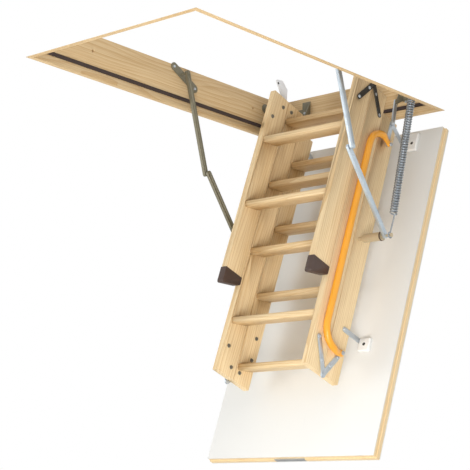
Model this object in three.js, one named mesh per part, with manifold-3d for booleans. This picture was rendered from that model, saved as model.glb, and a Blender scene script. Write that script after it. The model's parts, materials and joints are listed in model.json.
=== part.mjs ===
// Folding wooden attic ladder in its ceiling frame, with the hatch hanging open and the three
// ladder sections folded on it. Millimetres, +Z up, +X to the handrail side, +Y towards the
// hinge end. The origin is on the outer face of the hinge-end board, at its middle.

import * as THREE from 'three';
import { mergeVertices } from 'three/addons/utils/BufferGeometryUtils.js';
import Module from 'manifold-3d';

const wasm = await Module();
wasm.setup();

// ---- Driving dimensions ---------------------------------------------------------------

const GAP = 0.3; // between pieces that touch
const SIDES = [['left', -1], ['right', 1]];

// Ceiling frame
const FRAME_WIDTH = 700;
const FRAME_LENGTH = 1200;
const FRAME_HEIGHT = 140;
const FRAME_BOARD = 18;
const GASKET_HEIGHT = 12; // of the groove that holds the gasket
const GASKET_RISE = 25; // from the frame's lower rim to the groove
const GASKET_GROOVE = 5;
const GASKET_PROUD = 3;
const FIXING_HOLE_RADIUS = 5;
const FIXING_HOLE_RISE = 87; // above the frame's lower rim
const FIXING_HOLES_FROM_HINGE_END = [171, 943];

// Hatch
const OPEN_ANGLE = THREE.MathUtils.degToRad(71); // of the hatch below the ceiling
const HATCH_THICKNESS = 34;
const HATCH_SKIN = 4;
const HATCH_MEMBER = 40; // width of the edge frame's strips
const HATCH_LIP = 3; // that the room half stands out past the attic half
const HATCH_SIDE_GAP = 2; // from the lip to the frame, at the sides and the free end
const HATCH_HINGE_GAP = 7; // from the lip to the hinge-end board
const OPEN_EDGE_OUT = 20.7; // attic edge of the open hatch, past the hinge-end board
const OPEN_EDGE_DROP = 45.4; // the same edge, below the frame's lower rim

// Lock
const LOCK_PLATE_LENGTH = 118; // in the middle of the hatch's free end
const LOCK_RISE = 12; // above the hatch's room face
const LOCK_PLATE_HEIGHT = 15;
const LOCK_PLATE = 2;
const LOCK_CASE_WIDTH = 60;
const LOCK_CASE_DEPTH = 30;
const LOCK_CASE_HEIGHT = 14;
const BOLT_WIDTH = 18;
const BOLT_HEIGHT = 8;
const BOLT_LENGTH = 26;
const BOLT_THROW = 10;
const BOLT_SETBACK = 1; // of the drawn bolt, inside the hatch's free end
const BOLT_SPACE = 0.8; // from the bolt to the key spindle
const KEY_RADIUS = 8;
const KEY_RUN = 20; // from the free end
const KEY_SLOT = 3; // width and depth
const KEY_SLOT_LENGTH = 11;
const STRIKER_LENGTH = 74;
const STRIKER_PLATE = 1.5;
const STRIKER_SPACE = 1; // round the bolt

// Ladder sections
const LADDER_WIDTH = 376;
const STRINGER = 21;
const STRINGER_DEPTH = 78;
const SECTION_SPACE = 3; // between folded sections
const LADDER_STANDOFF = 61; // from the hatch to the upper section
const UPPER_SECTION_TOP = 8; // from the hatch's hinge edge
const LOWER_KNUCKLE = 951; // hinge between upper and middle section, from the hinge edge
const UPPER_KNUCKLE = -56; // hinge between middle and lower section, from the hinge edge
const KNUCKLE_SPACE = 3; // from a stringer's end to its hinge
const LOWER_SECTION_END = 627;

// Treads
const TREAD_DEPTH = 72;
const TREAD_THICKNESS = 20;
const TREAD_ROUNDING = 6;
const TREAD_HOUSING = 8; // that a tread goes into each stringer
const TREAD_PITCH = 251; // also across an unfolded section hinge
const FIRST_TREAD = 135; // of the upper section, from the hatch's hinge edge
const LONG_SECTION_TREADS = 4;
const SHORT_SECTION_TREADS = 2;

// Feet
const FOOT_WALL = 1.5; // that a foot stands out past its stringer
const FOOT_HEEL = 28; // length at the rear edge; the sole is level
const FOOT_ROUNDING = 8;

// Sheet metal
const LEAF = 2.5;
const LEAF_RADIUS = 9;
const LEAF_SPACE = 0.5; // between a hinge's two leaves, and outside them
const LOWER_HINGE_ENDS = { inner: [-82, -49], outer: [-100, 57] }; // run, height from the pin
const UPPER_HINGE_ENDS = { inner: [86, -61], outer: [90, 58] };
const HINGE_EAR_OUTLINE = [
  [6, 8], [-31, 37], [-51, 63], [-60, 60], [-71, 34], [-55, 1], [-23, -8], [0, -9],
];
const PIN_RADIUS = 4;
const PIN_CLEARANCE = 0.3;
const PIN_HEAD_RADIUS = 6.5;
const PIN_HEAD = 2;

// Hinge links between frame and hatch
const LINK_THICKNESS = 4;
const LINK_RADIUS = 8.5;
const LINK_PIVOT_RUN = 20; // on the hatch, from its hinge edge
const LINK_PIVOT_HEIGHT = 90; // above the hatch
const LINK_FRAME_PIVOT_REACH = 108; // from the hatch's turning centre
const LINK_SPACE = 1; // beside a hinge link
const HINGE_TAB = { width: 34, rise: 52, height: 72 }; // rise from the frame's lower rim
const HINGE_STRIP = { reach: 88, rise: 81, height: 18 }; // its reach along the side board
const HINGE_PAD_RADIUS = 16;
const HINGE_EAR = 4;
const HINGE_EAR_MARGIN = 4; // from the ear's root to the tab's edges
const BRACKET_END = [76, 2]; // of the leg on the stringer: run, height from the link's rivet
const BRACKET_FOOT = 38; // run of the leg that stands on the hatch

// Guide arms
const ARM_WIDTH = 17;
const ARM_CHANNEL = 10;
const ARM_WALL = 2;
const ARM_SPACE = 4; // between the upper and the lower arm
const LOWER_ARM_OFFSET = 284; // from the middle of the ladder
const UPPER_ARM_LENGTH = 341;
const LOWER_ARM_LENGTH = 309;
const ARM_FRAME_PIVOT = { run: 540, rise: 114 }; // from the hinge end, above the lower rim
const ARM_HATCH_PIVOT = { run: 473, height: 118 }; // along the hatch, above it
const ARM_BRACKET_RADIUS = 14;
const ARM_BRACKET_HIGH = [-36, 19]; // its ends, from the arm's pivot
const ARM_BRACKET_LOW = [66, -34];
const BRACKET_PLATE = 3;

// Spreader tubes and balance springs
const SPREADER_RADIUS = 14;
const SPREADER_STANDOFF = 22; // from the stringer to the tube
const SPREADER_SHOULDER = 5; // from the tube's end to the lower arm
const SPRING_RADIUS = 13;
const SPRING_OFFSET = 308;
const SPRING_WIRE = 2; // radius
const SPRING_EYE_RADIUS = 8;
const SPRING_TOP_HOOK = 34;
const SPRING_LOWER_HOOK = 72;
const SPRING_ANCHOR = { run: 107, rise: 100 }; // from the hinge end, above the lower rim
const SPRING_PIN_MARGIN = 3; // that a pin goes past the eye on it

// Handrail
const RAIL_RADIUS = 11.3;
const RAIL_SPACE = 6; // from the stringer's outer face
const RAIL_FOOT_HEIGHT = 87; // of its ends, above the hatch
const RAIL_GRIP_HEIGHT = 192; // of its straight part, above the hatch
const RAIL_START = 102;
const RAIL_END = 855;
const RAIL_BEND = 62; // length of each bend along the hatch
const RAIL_BULGE = 20; // by which a bend first swings out past its end
const RAIL_EASE = 5; // where a bend starts to run straight, past its end
const RAIL_STEPS = 56;

// Stay between the hatch and the upper section
const STAY_RUN = 775;
const STAY_WIDTH = 16;
const STAY_THICKNESS = 3;
const STAY_TOP = 90;
const BLOCK_RUN = 788;
const BLOCK_WIDTH = 40;
const BLOCK_LENGTH = 44;
const BLOCK_HEIGHT = 13;

// ---- Derived places -------------------------------------------------------------------

const RIM = -FRAME_HEIGHT / 2; // lower rim of the frame
const OPENING_HALF_WIDTH = FRAME_WIDTH / 2 - FRAME_BOARD;
const HALF_LADDER = LADDER_WIDTH / 2;
const INNER_HALF = HALF_LADDER - STRINGER;
const PITCH = STRINGER_DEPTH + SECTION_SPACE;
const SECTION_FLOOR = [0, 1, 2].map((i) => LADDER_STANDOFF + i * PITCH);
const LEAF_PLANES = [HALF_LADDER + GAP, HALF_LADDER + GAP + LEAF + LEAF_SPACE];
const UPPER_ARM_OFFSET = LOWER_ARM_OFFSET + ARM_CHANNEL + ARM_SPACE;
const LINK_OFFSET = HALF_LADDER + GAP + LEAF + LINK_SPACE;
const SPREADER_END = LOWER_ARM_OFFSET - SPREADER_SHOULDER;

const HATCH_WIDTH = 2 * (OPENING_HALF_WIDTH - HATCH_SIDE_GAP - HATCH_LIP);
const HATCH_EDGE = -FRAME_BOARD - HATCH_HINGE_GAP - HATCH_LIP; // closed attic hinge edge
const HATCH_LENGTH =
  FRAME_LENGTH - FRAME_BOARD - HATCH_SIDE_GAP - HATCH_LIP + HATCH_EDGE;

const openEdge = new THREE.Vector2(OPEN_EDGE_OUT, RIM - OPEN_EDGE_DROP);
const closedEdge = new THREE.Vector2(HATCH_EDGE, RIM + HATCH_THICKNESS);

// A point on the open hatch, given along it from the hinge edge and above its attic face,
// as (y, z) of the whole part.
function onHatch(run, height) {
  const along = new THREE.Vector2(-run, height);
  return along.rotateAround(new THREE.Vector2(), OPEN_ANGLE).add(openEdge);
}

// The centre about which one turn by the open angle takes the closed hatch to the open one.
function turningCentre() {
  const chord = closedEdge.clone().sub(openEdge);
  const across = new THREE.Vector2(chord.y, -chord.x).normalize();
  const middle = openEdge.clone().add(closedEdge).multiplyScalar(0.5);
  return middle.addScaledVector(across, chord.length() / 2 / Math.tan(OPEN_ANGLE / 2));
}

// The third corner of a triangle on two pivots, on the free-end side of the line.
function knuckle(from, to, fromLength, toLength) {
  const line = to.clone().sub(from);
  const span = line.length();
  const run = (fromLength ** 2 + span ** 2 - toLength ** 2) / (2 * span);
  const rise = Math.sqrt(Math.max(0, fromLength ** 2 - run ** 2));
  line.normalize();
  const across = new THREE.Vector2(line.y, -line.x);
  return from.clone().addScaledVector(line, run).addScaledVector(across, rise);
}

const centre = turningCentre();
const linkHatchPivot = onHatch(LINK_PIVOT_RUN, LINK_PIVOT_HEIGHT);
const linkFramePivot = linkHatchPivot.clone().sub(centre)
  .rotateAround(new THREE.Vector2(), -OPEN_ANGLE / 2)
  .setLength(LINK_FRAME_PIVOT_REACH)
  .add(centre);
const armFramePivot = new THREE.Vector2(-ARM_FRAME_PIVOT.run, RIM + ARM_FRAME_PIVOT.rise);
const armHatchPivot = onHatch(ARM_HATCH_PIVOT.run, ARM_HATCH_PIVOT.height);
const armKnuckle = knuckle(armFramePivot, armHatchPivot, UPPER_ARM_LENGTH, LOWER_ARM_LENGTH);
const springAnchor = new THREE.Vector2(-SPRING_ANCHOR.run, RIM + SPRING_ANCHOR.rise);

// ---- Materials ------------------------------------------------------------------------

const material = (color, roughness, metalness = 0) =>
  new THREE.MeshStandardMaterial({ color, roughness, metalness });

const pine = material(0xdcbd8a, 0.55);
const white = material(0xebebe8, 0.4);
const foam = material(0xf2f2ee, 0.9);
const rubber = material(0x41322d, 0.7);
const zinc = material(0xc2cad0, 0.35, 0.9);
const black = material(0x3c3c38, 0.45, 0.6);
const springSteel = material(0x505a64, 0.4, 0.8);
const orange = material(0xf9ae30, 0.35);
const plastic = material(0xf5f5f3, 0.5);

// ---- Solid helpers --------------------------------------------------------------------

function toSolid(geometry) {
  const bare = geometry.clone();
  bare.deleteAttribute('normal');
  bare.deleteAttribute('uv');
  const merged = mergeVertices(bare, 1e-4);
  const vertProperties = new Float32Array(merged.attributes.position.array);
  const triVerts = new Uint32Array(merged.index.array);
  return new wasm.Manifold(new wasm.Mesh({ numProp: 3, vertProperties, triVerts }));
}

function toGeometry(solid) {
  const mesh = solid.getMesh();
  const geometry = new THREE.BufferGeometry();
  geometry.setAttribute('position', new THREE.BufferAttribute(mesh.vertProperties, 3));
  geometry.setIndex(new THREE.BufferAttribute(mesh.triVerts, 1));
  return geometry;
}

const cut = (geometry, tools) =>
  toGeometry(tools.reduce((body, tool) => body.subtract(toSolid(tool)), toSolid(geometry)));

const join = (...parts) =>
  toGeometry(parts.slice(1).reduce((body, part) => body.add(toSolid(part)), toSolid(parts[0])));

function box(low, high) {
  const size = high.map((value, i) => value - low[i]);
  const middle = high.map((value, i) => (value + low[i]) / 2);
  return new THREE.BoxGeometry(...size).translate(...middle);
}

// An outline in the (y, z) plane, drawn out along x from one place to another.
function sideways(shape, from, to, curveSegments = 4) {
  const geometry = new THREE.ExtrudeGeometry(shape, {
    depth: Math.abs(to - from),
    bevelEnabled: false,
    curveSegments,
  });
  const turn = new THREE.Matrix4().makeBasis(
    new THREE.Vector3(0, 1, 0),
    new THREE.Vector3(0, 0, 1),
    new THREE.Vector3(1, 0, 0),
  );
  return geometry.applyMatrix4(turn).translate(Math.min(from, to), 0, 0);
}

// A strap with round ends between two points of the (y, z) plane.
function strapShape(a, b, radius) {
  const angle = Math.atan2(b.y - a.y, b.x - a.x);
  const shape = new THREE.Shape();
  shape.absarc(a.x, a.y, radius, angle + Math.PI / 2, angle + 1.5 * Math.PI);
  shape.absarc(b.x, b.y, radius, angle - Math.PI / 2, angle + Math.PI / 2);
  return shape;
}

const strap = (a, b, radius, from, to) => sideways(strapShape(a, b, radius), from, to, 6);

function disc(at, radius, from, to) {
  const shape = new THREE.Shape();
  shape.absarc(at.x, at.y, radius, 0, 2 * Math.PI);
  return sideways(shape, from, to, 8);
}

// A round piece that stands on the hatch's plane.
function post(x, y, radius, low, high) {
  return new THREE.CylinderGeometry(radius, radius, high - low, 24)
    .rotateX(Math.PI / 2)
    .translate(x, y, (low + high) / 2);
}

const point = (run, height) => new THREE.Vector2(-run, height); // on the closed hatch

function roundedBar(depth, thickness, radius) {
  const [y, z] = [depth / 2, thickness / 2];
  const shape = new THREE.Shape();
  shape.absarc(-y + radius, -z + radius, radius, Math.PI, 1.5 * Math.PI);
  shape.lineTo(y, -z);
  shape.lineTo(y, z);
  shape.absarc(-y + radius, z - radius, radius, Math.PI / 2, Math.PI);
  return shape;
}

function piece(parent, name, geometry, finish) {
  const mesh = new THREE.Mesh(geometry, finish);
  mesh.name = name;
  parent.add(mesh);
  return mesh;
}

const ladder = new THREE.Group();
const hatch = new THREE.Group(); // drawn closed: its attic face is z = 0, its hinge edge y = 0
hatch.position.set(0, openEdge.x, openEdge.y);
hatch.rotation.x = OPEN_ANGLE;
ladder.add(hatch);

// ---- Ceiling frame --------------------------------------------------------------------

// A board's section: x away from the opening, y up, with the gasket's groove.
function boardShape() {
  const grooveLow = RIM + GASKET_RISE;
  const grooveHigh = grooveLow + GASKET_HEIGHT;
  const shape = new THREE.Shape();
  shape.moveTo(0, RIM);
  shape.lineTo(FRAME_BOARD, RIM);
  shape.lineTo(FRAME_BOARD, -RIM);
  shape.lineTo(0, -RIM);
  shape.lineTo(0, grooveHigh);
  shape.lineTo(GASKET_GROOVE, grooveHigh);
  shape.lineTo(GASKET_GROOVE, grooveLow);
  shape.lineTo(0, grooveLow);
  return shape;
}

// A frame board of some length, with its groove facing -y, turned to face its way.
function board(length, turn, x, y) {
  const geometry = sideways(boardShape(), -length / 2, length / 2);
  return geometry.rotateZ(turn).translate(x, y, 0);
}

function buildFrame() {
  const innerLength = 2 * OPENING_HALF_WIDTH - 2 * GAP;
  const freeFace = -FRAME_LENGTH + FRAME_BOARD;
  piece(ladder, 'frame_board_hinge_end', board(innerLength, 0, 0, -FRAME_BOARD), pine);
  piece(ladder, 'frame_board_free_end', board(innerLength, Math.PI, 0, freeFace), pine);
  for (const [name, side] of SIDES) {
    const holes = FIXING_HOLES_FROM_HINGE_END.map((run) => {
      const at = new THREE.Vector2(-run, RIM + FIXING_HOLE_RISE);
      return disc(at, FIXING_HOLE_RADIUS, -FRAME_WIDTH, FRAME_WIDTH);
    });
    const turn = side * -Math.PI / 2;
    const blank = board(FRAME_LENGTH, turn, side * OPENING_HALF_WIDTH, -FRAME_LENGTH / 2);
    piece(ladder, `frame_board_${name}`, cut(blank, holes), pine);
  }
  const low = RIM + GASKET_RISE + GAP;
  const high = RIM + GASKET_RISE + GASKET_HEIGHT - GAP;
  const ring = (reach, from, to) => box(
    [-OPENING_HALF_WIDTH - reach, freeFace - reach, from],
    [OPENING_HALF_WIDTH + reach, -FRAME_BOARD + reach, to],
  );
  const gasket = cut(ring(GASKET_GROOVE - GAP, low, high), [ring(-GASKET_PROUD, low - 1, high + 1)]);
  piece(ladder, 'frame_gasket', gasket, rubber);
}

// ---- Frame hardware -------------------------------------------------------------------

// A pin along x, from a plate towards the middle of the ladder, with a round head.
function pin(at, side, root, tip, radius = PIN_RADIUS, head = PIN_HEAD_RADIUS) {
  const shank = disc(at, radius, side * root, side * tip);
  return join(shank, disc(at, head, side * (tip + PIN_HEAD), side * tip));
}

function buildArmBrackets() {
  const high = armFramePivot.clone().add(new THREE.Vector2(...ARM_BRACKET_HIGH));
  const low = armFramePivot.clone().add(new THREE.Vector2(...ARM_BRACKET_LOW));
  const wall = OPENING_HALF_WIDTH - GAP;
  for (const [name, side] of SIDES) {
    const plate = strap(high, low, ARM_BRACKET_RADIUS, side * (wall - BRACKET_PLATE), side * wall);
    const tip = UPPER_ARM_OFFSET - GAP - PIN_HEAD;
    const bracket = join(plate, pin(armFramePivot, side, wall, tip));
    piece(ladder, `arm_bracket_${name}`, bracket, zinc);
  }
}

// A tab on the hinge-end board with an ear for the hinge link, and a strip from it round the
// frame's corner to a pad with the spring's pin.
function buildHingePlates() {
  const face = -FRAME_BOARD - GAP;
  const wall = OPENING_HALF_WIDTH - GAP;
  const [tabLow, stripLow] = [RIM + HINGE_TAB.rise, RIM + HINGE_STRIP.rise];
  const [tabHigh, stripHigh] = [tabLow + HINGE_TAB.height, stripLow + HINGE_STRIP.height];
  const earFrom = LINK_OFFSET + LINK_THICKNESS + LINK_SPACE;
  const earTo = earFrom + HINGE_EAR;
  const ear = new THREE.Shape();
  ear.moveTo(face - 1, tabHigh - HINGE_EAR_MARGIN);
  ear.lineTo(face - 1, tabLow + HINGE_EAR_MARGIN);
  ear.absarc(linkFramePivot.x, linkFramePivot.y, LINK_RADIUS, -Math.PI / 2, -Math.PI * 1.5, true);
  for (const [name, side] of SIDES) {
    const ordered = (a, b) => [side * a, side * b].sort((one, other) => one - other);
    const tab = ordered(earFrom, earFrom + HINGE_TAB.width);
    const strip = ordered(earFrom, wall);
    const back = ordered(wall - BRACKET_PLATE, wall);
    const geometry = join(
      box([tab[0], face - BRACKET_PLATE, tabLow], [tab[1], face, tabHigh]),
      box([strip[0], face - BRACKET_PLATE, stripLow], [strip[1], face, stripHigh]),
      box([back[0], face - HINGE_STRIP.reach, stripLow], [back[1], face, stripHigh]),
      disc(springAnchor, HINGE_PAD_RADIUS, side * (wall - BRACKET_PLATE), side * wall),
      sideways(ear, side * earFrom, side * earTo),
      disc(linkFramePivot, PIN_RADIUS, side * earTo, side * LINK_OFFSET),
      pin(springAnchor, side, wall, SPRING_OFFSET - SPRING_WIRE - SPRING_PIN_MARGIN),
    );
    piece(ladder, `hinge_plate_${name}`, geometry, zinc);
  }
}

function buildHingeLinks() {
  for (const [name, side] of SIDES) {
    const [from, to] = [side * LINK_OFFSET, side * (LINK_OFFSET + LINK_THICKNESS)];
    const blank = strap(linkFramePivot, linkHatchPivot, LINK_RADIUS, from, to);
    const rivet = disc(linkHatchPivot, PIN_HEAD_RADIUS, to, to + side * PIN_HEAD);
    const hole = disc(linkFramePivot, PIN_RADIUS + PIN_CLEARANCE, from - side, to + side);
    piece(ladder, `hinge_link_${name}`, cut(join(blank, rivet), [hole]), zinc);
  }
}

// ---- Guide arms and springs -----------------------------------------------------------

// A channel with round ends between two points, its web away from the ladder.
function channel(a, b, side, offset) {
  const radius = ARM_WIDTH / 2;
  const [inner, outer] = [side * offset, side * (offset + ARM_CHANNEL)];
  const bar = strap(a, b, radius, inner, outer);
  const hollow = strap(a, b, radius - ARM_WALL, inner - side, outer - side * ARM_WALL);
  return cut(bar, [hollow]);
}

function buildArms() {
  for (const [name, side] of SIDES) {
    const through = PIN_RADIUS + PIN_CLEARANCE;
    const bore = (at) => disc(at, through, 0, side * OPENING_HALF_WIDTH);
    const upper = channel(armFramePivot, armKnuckle, side, UPPER_ARM_OFFSET);
    const lower = channel(armKnuckle, armHatchPivot, side, LOWER_ARM_OFFSET);
    const outside = UPPER_ARM_OFFSET + ARM_CHANNEL;
    const head = disc(armKnuckle, PIN_HEAD_RADIUS, side * outside, side * (outside + PIN_HEAD));
    piece(ladder, `upper_arm_${name}`, cut(join(upper, head), [bore(armFramePivot)]), zinc);
    piece(ladder, `lower_arm_${name}`, cut(lower, [bore(armHatchPivot)]), zinc);
  }
}

// A balance spring's outer shape: coils, hooks and eyes, on the line between its pins.
function springGeometry() {
  const length = springAnchor.distanceTo(armHatchPivot);
  const coilTop = -SPRING_TOP_HOOK;
  const coilEnd = -length + SPRING_LOWER_HOOK;
  const bar = (radius, from, to) => new THREE.CylinderGeometry(radius, radius, from - to, 16)
    .rotateX(Math.PI / 2)
    .translate(0, 0, (from + to) / 2);
  const eye = (at) => new THREE.TorusGeometry(SPRING_EYE_RADIUS, SPRING_WIRE, 8, 16)
    .rotateY(Math.PI / 2)
    .translate(0, 0, at);
  return join(
    bar(SPRING_RADIUS, coilTop, coilEnd),
    bar(SPRING_WIRE, -SPRING_EYE_RADIUS, coilTop - 1),
    bar(SPRING_WIRE, coilEnd + 1, -length + SPRING_EYE_RADIUS),
    eye(0),
    eye(-length),
  );
}

function buildSprings() {
  const lean = armHatchPivot.clone().sub(springAnchor);
  for (const [name, side] of SIDES) {
    const spring = piece(ladder, `balance_spring_${name}`, springGeometry(), springSteel);
    spring.position.set(side * SPRING_OFFSET, springAnchor.x, springAnchor.y);
    spring.rotation.x = Math.atan2(lean.x, -lean.y);
  }
}

// ---- Hatch ----------------------------------------------------------------------------

// A block of the hatch's outline, standing out past its attic half by some reach.
const slab = (reach, low, high) => box(
  [-HATCH_WIDTH / 2 - reach, -HATCH_LENGTH - reach, low],
  [HATCH_WIDTH / 2 + reach, reach, high],
);

const lockMiddle = -HATCH_THICKNESS + LOCK_RISE;
const freeEdge = -HATCH_LENGTH - HATCH_LIP; // outermost face of the free end

// A block across the middle of the hatch's free end, as high as the lock.
const lockBlock = (width, height, from, to) => box(
  [-width / 2, from, lockMiddle - height / 2],
  [width / 2, to, lockMiddle + height / 2],
);

// The lock's body and face plate, grown by some clearance.
function lockBlank(grow) {
  const [width, height] = [LOCK_PLATE_LENGTH + 2 * grow, LOCK_PLATE_HEIGHT + 2 * grow];
  const plateEnd = freeEdge + HATCH_LIP + LOCK_PLATE + grow;
  const plate = lockBlock(width, height, freeEdge - grow, plateEnd);
  const [caseWidth, caseHeight] = [LOCK_CASE_WIDTH + 2 * grow, LOCK_CASE_HEIGHT + 2 * grow];
  return join(plate, lockBlock(caseWidth, caseHeight, freeEdge, freeEdge + LOCK_CASE_DEPTH + grow));
}

// The bolt, grown by some clearance, with its slot open at the free end.
function boltBlank(grow) {
  const start = freeEdge + BOLT_SETBACK;
  const open = grow > 0 ? 2 * BOLT_SETBACK : 0;
  const [width, height] = [BOLT_WIDTH + 2 * grow, BOLT_HEIGHT + 2 * grow];
  return lockBlock(width, height, start - open, start + BOLT_LENGTH + grow);
}

// The key spindle between the room face and the bolt, grown by some clearance.
function keyBlank(grow) {
  const top = lockMiddle - BOLT_HEIGHT / 2 - BOLT_SPACE + grow;
  const bottom = -HATCH_THICKNESS - (grow > 0 ? KEY_SLOT : 0);
  return post(0, freeEdge + KEY_RUN, KEY_RADIUS + grow, bottom, top);
}

function buildLock() {
  const y = freeEdge + KEY_RUN;
  const half = KEY_SLOT_LENGTH / 2;
  const slot = box(
    [-half, y - KEY_SLOT / 2, -HATCH_THICKNESS - KEY_SLOT],
    [half, y + KEY_SLOT / 2, -HATCH_THICKNESS + KEY_SLOT],
  );
  piece(hatch, 'lock_case', cut(lockBlank(0), [boltBlank(GAP), keyBlank(GAP)]), zinc);
  piece(hatch, 'lock_bolt', boltBlank(0), zinc);
  piece(hatch, 'lock_key', cut(keyBlank(0), [slot]), zinc);
}

function buildHatch() {
  const inside = -HATCH_MEMBER;
  const middle = -HATCH_THICKNESS / 2;
  const top = -HATCH_SKIN - GAP;
  const bottom = -HATCH_THICKNESS + HATCH_SKIN + GAP;
  const attic = -HATCH_THICKNESS;
  piece(hatch, 'hatch_skin_attic', slab(0, -HATCH_SKIN, 0), white);
  const roomSkin = slab(HATCH_LIP, attic, attic + HATCH_SKIN);
  piece(hatch, 'hatch_skin_room', cut(roomSkin, [keyBlank(GAP)]), white);
  const edges = join(slab(0, bottom, top), slab(HATCH_LIP, bottom, middle));
  const core = slab(inside, bottom - 1, top + 1);
  piece(hatch, 'hatch_edge_frame', cut(edges, [core, lockBlank(GAP), keyBlank(GAP)]), pine);
  piece(hatch, 'hatch_insulation', slab(inside - GAP, bottom, top), foam);
}

function buildStriker() {
  const face = -FRAME_LENGTH + FRAME_BOARD;
  const lock = RIM + HATCH_THICKNESS + lockMiddle;
  const half = STRIKER_LENGTH / 2;
  const top = RIM + GASKET_RISE - 1;
  const low = RIM + 2;
  const plate = box([-half, face + GAP, low], [half, face + GAP + STRIKER_PLATE, top]);
  const [wide, high] = [BOLT_WIDTH / 2 + STRIKER_SPACE, BOLT_HEIGHT / 2 + STRIKER_SPACE];
  const slot = box([-wide, face, lock - high], [wide, face + BOLT_THROW, lock + high]);
  piece(ladder, 'lock_striker', cut(plate, [slot]), zinc);
}

// ---- Ladder sections ------------------------------------------------------------------

const sectionMiddle = (section) => SECTION_FLOOR[section] + STRINGER_DEPTH / 2;

// Distances of each section's treads from the hatch's hinge edge.
function treadRuns() {
  const upper = [...Array(LONG_SECTION_TREADS).keys()].map((i) => FIRST_TREAD + i * TREAD_PITCH);
  const last = upper[upper.length - 1];
  const lowest = 2 * LOWER_KNUCKLE - last - TREAD_PITCH;
  const middle = upper.map((_, i) => lowest - (LONG_SECTION_TREADS - 1 - i) * TREAD_PITCH);
  const first = 2 * UPPER_KNUCKLE + TREAD_PITCH - middle[0];
  const lower = [...Array(SHORT_SECTION_TREADS).keys()].map((i) => first + i * TREAD_PITCH);
  return [upper, middle, lower];
}

// A tread is level when the hatch is open, so it turns back by the open angle.
function treadBlank(section, run, grow) {
  const half = INNER_HALF + TREAD_HOUSING + grow;
  const outline = roundedBar(
    TREAD_DEPTH + 2 * grow,
    TREAD_THICKNESS + 2 * grow,
    TREAD_ROUNDING + grow,
  );
  return sideways(outline, -half, half)
    .rotateX(-OPEN_ANGLE)
    .translate(0, -run, sectionMiddle(section));
}

function buildSection(section, name, top, end, runs) {
  const floor = SECTION_FLOOR[section];
  const housings = runs.map((run) => treadBlank(section, run, GAP));
  for (const [sideName, side] of SIDES) {
    const xs = [side * INNER_HALF, side * HALF_LADDER].sort((a, b) => a - b);
    const blank = box([xs[0], -end, floor], [xs[1], -top, floor + STRINGER_DEPTH]);
    piece(hatch, `${name}_stringer_${sideName}`, cut(blank, housings), pine);
  }
  runs.forEach((run, i) => {
    piece(hatch, `${name}_tread_${i + 1}`, treadBlank(section, run, 0), pine);
  });
}

// Two leaves on one pin: the inner one carries the pin, the outer one turns on it.
function buildSectionHinge(names, pivot, ends, finish, ears = []) {
  const [inner, outer] = LEAF_PLANES;
  const tip = outer + LEAF + LEAF_SPACE;
  const [innerEnd, outerEnd] = [ends.inner, ends.outer].map((end) => pivot.clone().add(point(...end)));
  for (const [sideName, side] of SIDES) {
    const fixed = strap(pivot, innerEnd, LEAF_RADIUS, side * inner, side * (inner + LEAF));
    const shank = disc(pivot, PIN_RADIUS, side * inner, side * tip);
    const head = disc(pivot, PIN_HEAD_RADIUS, side * tip, side * (tip + PIN_HEAD));
    piece(hatch, `${names[0]}_${sideName}`, join(fixed, shank, head), finish);
    const planes = [side * outer, side * (outer + LEAF)];
    const leaf = [strap(pivot, outerEnd, LEAF_RADIUS, ...planes)];
    leaf.push(...ears.map((ear) => sideways(ear, ...planes)));
    const hole = disc(pivot, PIN_RADIUS + PIN_CLEARANCE, 0, side * OPENING_HALF_WIDTH);
    piece(hatch, `${names[1]}_${sideName}`, cut(join(...leaf), [hole]), finish);
  }
}

function buildSectionHinges() {
  const lower = point(LOWER_KNUCKLE, SECTION_FLOOR[1] - SECTION_SPACE / 2);
  const upper = point(UPPER_KNUCKLE, SECTION_FLOOR[2] - SECTION_SPACE / 2);
  const ear = new THREE.Shape(HINGE_EAR_OUTLINE.map((at) => upper.clone().add(point(...at))));
  const lowerNames = ['upper_section_leaf', 'middle_section_lower_leaf'];
  const upperNames = ['middle_section_upper_leaf', 'lower_section_leaf'];
  buildSectionHinge(lowerNames, lower, LOWER_HINGE_ENDS, zinc);
  buildSectionHinge(upperNames, upper, UPPER_HINGE_ENDS, black, [ear]);
}

// A foot on the lower section's stringer. Its sole is level when the hatch is open.
function buildFeet() {
  const low = SECTION_FLOOR[2] + GAP - SECTION_SPACE / 2;
  const high = SECTION_FLOOR[2] + STRINGER_DEPTH + FOOT_WALL;
  const start = LOWER_SECTION_END + GAP;
  const heel = start + FOOT_HEEL;
  const toe = heel + (high - low) / Math.tan(OPEN_ANGLE);
  const sole = new THREE.Vector2(-toe + heel, high - low).normalize();
  const shape = new THREE.Shape();
  shape.moveTo(-start, low);
  shape.lineTo(-start, high);
  shape.lineTo(-toe + 1.5 * FOOT_ROUNDING, high);
  const toePoint = point(toe, high).addScaledVector(sole, -FOOT_ROUNDING);
  shape.quadraticCurveTo(-toe, high, toePoint.x, toePoint.y);
  const heelPoint = point(heel, low).addScaledVector(sole, FOOT_ROUNDING);
  shape.lineTo(heelPoint.x, heelPoint.y);
  shape.quadraticCurveTo(-heel, low, -heel + FOOT_ROUNDING, low);
  for (const [sideName, side] of SIDES) {
    const xs = [side * (INNER_HALF - FOOT_WALL), side * (HALF_LADDER + FOOT_WALL)];
    piece(hatch, `foot_${sideName}`, sideways(shape, Math.min(...xs), Math.max(...xs)), rubber);
  }
}

// ---- Fittings on the upper section ----------------------------------------------------

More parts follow.
